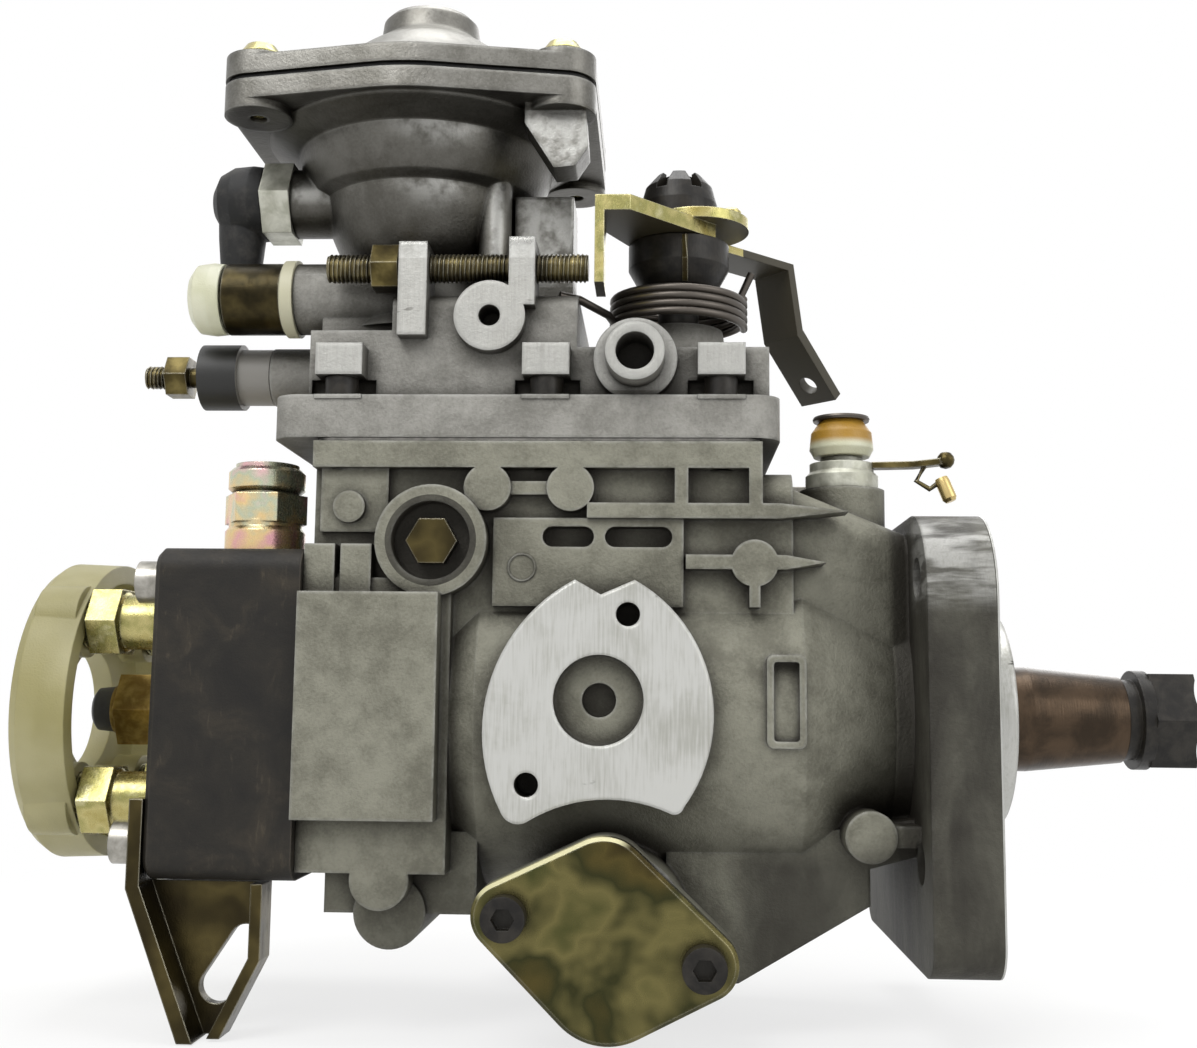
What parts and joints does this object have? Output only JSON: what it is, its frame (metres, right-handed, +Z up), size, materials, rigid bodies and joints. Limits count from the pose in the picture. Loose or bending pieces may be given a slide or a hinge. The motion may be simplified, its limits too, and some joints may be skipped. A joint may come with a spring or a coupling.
{
  "type": "diesel injection pump",
  "caption": "Distributor-type diesel injection pump with flange mount, tapered drive shaft, rear outlets, governor cover, throttle lever and boost control on top.",
  "frame": {"origin": "centre of the mounting pilot, in the face of the mounting flange", "axes": "+X along the drive shaft towards its tapered nose, +Z up, -Y towards the side with the machined pad"},
  "size_m": [0.2726, 0.1134, 0.2507],
  "materials": {
    "cast_aluminium": "sand cast, slightly stained",
    "cover_aluminium": "die cast, satin",
    "cap_aluminium": "die cast, worn",
    "black_steel": "phosphated, dark",
    "zinc_yellow": "yellow chromated zinc",
    "olive_zinc": "olive chromated zinc",
    "steel": "turned",
    "dark_steel": "oiled, dark",
    "brass": "plain",
    "rubber_black": "matte",
    "plastic_cream": "translucent cream",
    "plastic_black": "matte",
    "gasket_paper": "fibre",
    "bronze": "sintered"
  },
  "bodies": {
    "pump": {"pump_housing": "cast_aluminium", "governor_cover": "cover_aluminium", "cover_gasket": "gasket_paper", "cover_screws": "dark_steel", "distributor_head": "black_steel", "head_sleeve": "steel", "head_screws": "steel", "head_plug": "brass", "plug_cap": "plastic_black", "delivery_valves": "steel", "delivery_holders": "zinc_yellow", "outlet_guard": "plastic_cream", "support_bracket": "zinc_yellow", "timing_covers": "zinc_yellow", "timing_screws": "dark_steel", "rubber_seals": "rubber_black", "timing_spring": "steel", "shaft_bush": "bronze", "pump_ring_and_plate": "steel", "governor_shaft_and_pins": "steel", "pivot_screws": "zinc_yellow", "plunger_springs": "steel", "governor_spring": "steel", "boost_cap": "cap_aluminium", "boost_diaphragm": "rubber_black", "boost_spring": "steel", "boost_screws": "zinc_yellow", "boost_fitting": "steel", "boost_hose": "rubber_black", "regulating_valve": "steel", "fuel_inlet": "steel", "return_union": "olive_zinc", "transport_caps": "plastic_cream", "shutoff_solenoid": "zinc_yellow", "adjusting_screws": "olive_zinc", "throttle_spring": "dark_steel"},
    "drive_shaft": {"drive_shaft": "steel", "nose_nut_and_key": "dark_steel", "pump_rotor_and_vanes": "steel", "drive_gear": "steel", "cross_coupling": "steel"},
    "cam_and_plunger": {"cam_plate": "steel", "plunger": "steel"},
    "spring_bridge": {"spring_bridge": "steel"},
    "roller_ring": {"roller_ring_and_pin": "steel", "cam_rollers": "steel"},
    "control_collar": {"control_collar": "steel"},
    "flyweight_carrier": {"flyweight_carrier": "steel"},
    "flyweight_1": {"flyweight_1": "steel"},
    "flyweight_2": {"flyweight_2": "steel"},
    "flyweight_3": {"flyweight_3": "steel"},
    "flyweight_4": {"flyweight_4": "steel"},
    "governor_sleeve": {"governor_sleeve": "steel"},
    "governor_lever": {"start_lever": "steel", "tension_lever": "steel"},
    "timing_piston": {"timing_piston": "steel"},
    "boost_pin": {"boost_pin": "steel"},
    "throttle": {"throttle_shaft": "dark_steel", "throttle_nut": "dark_steel", "throttle_lever": "zinc_yellow"}
  },
  "joints": [
    {"name": "shaft_spin", "type": "hinge", "parent": "pump", "child": "drive_shaft", "pos_m": [0, 0, 0], "axis": [1, 0, 0], "continuous": true},
    {"name": "plunger_stroke", "type": "slide", "parent": "drive_shaft", "child": "cam_and_plunger", "axis": [1, 0, 0], "range_m": [0, 0.0022]},
    {"name": "bridge_slide", "type": "slide", "parent": "pump", "child": "spring_bridge", "axis": [1, 0, 0], "range_m": [0, 0.0022], "deforming": ["plunger_springs"]},
    {"name": "timing_slide", "type": "slide", "parent": "pump", "child": "timing_piston", "axis": [0, 1, 0], "range_m": [0, 0.01], "stiffness_N_per_m": 3000, "springref_m": -0.002, "deforming": ["timing_spring"]},
    {"name": "ring_turn", "type": "hinge", "parent": "pump", "child": "roller_ring", "pos_m": [-0.083, 0, 0], "axis": [1, 0, 0], "range_deg": [0, 12.6]},
    {"name": "sleeve_slide", "type": "slide", "parent": "pump", "child": "governor_sleeve", "axis": [-1, 0, 0], "range_m": [0, 0.0015]},
    {"name": "lever_turn", "type": "hinge", "parent": "pump", "child": "governor_lever", "pos_m": [-0.1226, 0, 0.0383], "axis": [0, -1, 0], "range_deg": [0, 7.5], "deforming": ["governor_spring"]},
    {"name": "collar_slide", "type": "slide", "parent": "pump", "child": "control_collar", "axis": [1, 0, 0], "range_m": [0, 0.0038]},
    {"name": "governor_spin", "type": "hinge", "parent": "pump", "child": "flyweight_carrier", "pos_m": [-0.066, 0, 0.05], "axis": [1, 0, 0], "continuous": true},
    {"name": "weight_1_swing", "type": "hinge", "parent": "flyweight_carrier", "child": "flyweight_1", "pos_m": [-0.0735, 0, 0.063], "axis": [0, 1, 0], "range_deg": [0, 16.5]},
    {"name": "weight_2_swing", "type": "hinge", "parent": "flyweight_carrier", "child": "flyweight_2", "pos_m": [-0.0735, -0.013, 0.05], "axis": [0, 0, 1], "range_deg": [0, 16.5]},
    {"name": "weight_3_swing", "type": "hinge", "parent": "flyweight_carrier", "child": "flyweight_3", "pos_m": [-0.0735, 0, 0.037], "axis": [0, -1, 0], "range_deg": [0, 16.5]},
    {"name": "weight_4_swing", "type": "hinge", "parent": "flyweight_carrier", "child": "flyweight_4", "pos_m": [-0.0735, 0.013, 0.05], "axis": [0, 0, -1], "range_deg": [0, 16.5]},
    {"name": "boost_slide", "type": "slide", "parent": "pump", "child": "boost_pin", "axis": [0, 0, -1], "range_m": [0, 0.006], "stiffness_N_per_m": 3000, "springref_m": -0.002, "deforming": ["boost_spring", "boost_diaphragm"]},
    {"name": "throttle_turn", "type": "hinge", "parent": "pump", "child": "throttle", "pos_m": [-0.0675, -0.005, 0.11], "axis": [0, 0, 1], "range_deg": [0, 40], "stiffness_Nm_per_rad": 0.6, "springref_deg": -11.46, "deforming": ["throttle_spring"]}
  ],
  "couplings": [
    {"joint": "bridge_slide", "follows": "plunger_stroke", "ratio": 1},
    {"joint": "ring_turn", "follows": "timing_slide", "rad_per_m": 21.882},
    {"joint": "lever_turn", "follows": "sleeve_slide", "rad_per_m": 85.47},
    {"joint": "collar_slide", "follows": "sleeve_slide", "ratio": 2.3932},
    {"joint": "governor_spin", "follows": "shaft_spin", "ratio": -1.6316},
    {"joint": "weight_1_swing", "follows": "sleeve_slide", "rad_per_m": 190.48},
    {"joint": "weight_2_swing", "follows": "sleeve_slide", "rad_per_m": 190.48},
    {"joint": "weight_3_swing", "follows": "sleeve_slide", "rad_per_m": 190.48},
    {"joint": "weight_4_swing", "follows": "sleeve_slide", "rad_per_m": 190.48}
  ]
}
